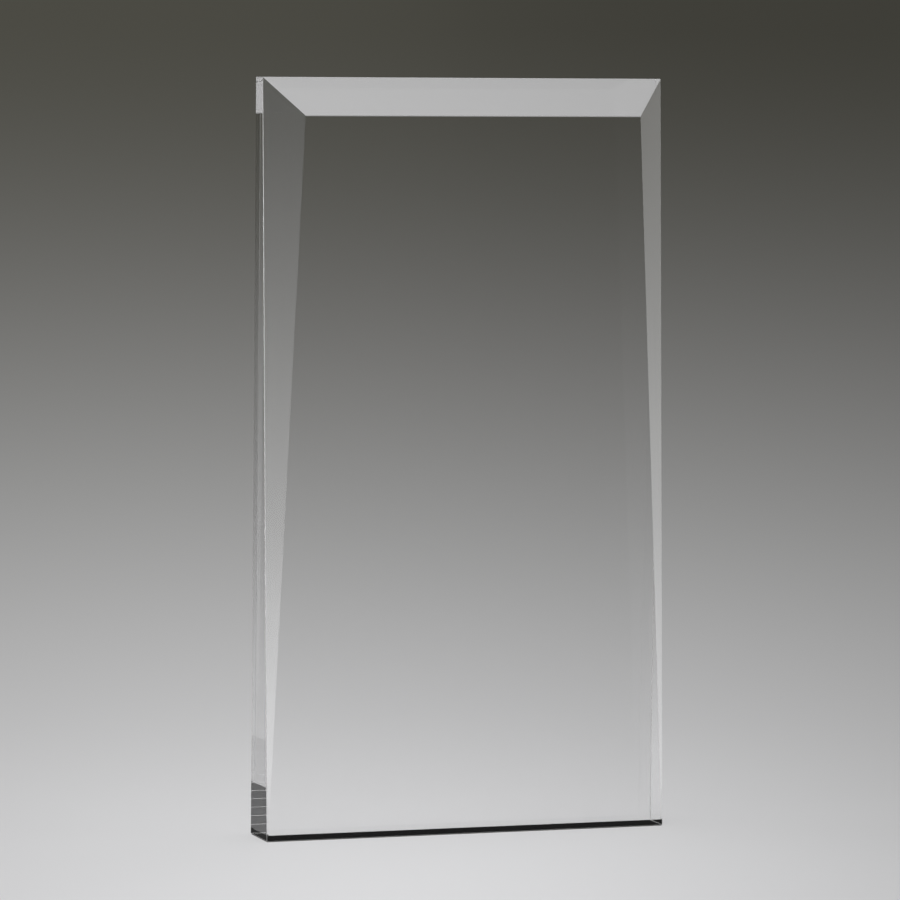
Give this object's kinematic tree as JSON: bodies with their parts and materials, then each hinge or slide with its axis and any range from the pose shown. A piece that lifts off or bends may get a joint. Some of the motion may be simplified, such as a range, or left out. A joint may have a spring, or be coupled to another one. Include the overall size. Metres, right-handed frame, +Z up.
{
  "type": "acrylic photo block",
  "caption": "Free-standing clear acrylic photo block with a wide mitred top bevel, side bevels that taper towards the foot, and a thin black base pad.",
  "frame": {"origin": "centre of the base pad's underside, on the surface the block stands on", "axes": "+Z up, +Y towards the plain back face, so that the bevelled front faces -Y, and +X to the right seen from the front"},
  "size_m": [0.15, 0.02, 0.27],
  "materials": {
    "clear_acrylic": "polished",
    "black_adhesive": "gloss",
    "black_pad": "matte"
  },
  "bodies": {
    "root": {"acrylic_block": "clear_acrylic", "pad_adhesive": "black_adhesive", "base_pad": "black_pad"}
  },
  "joints": []
}
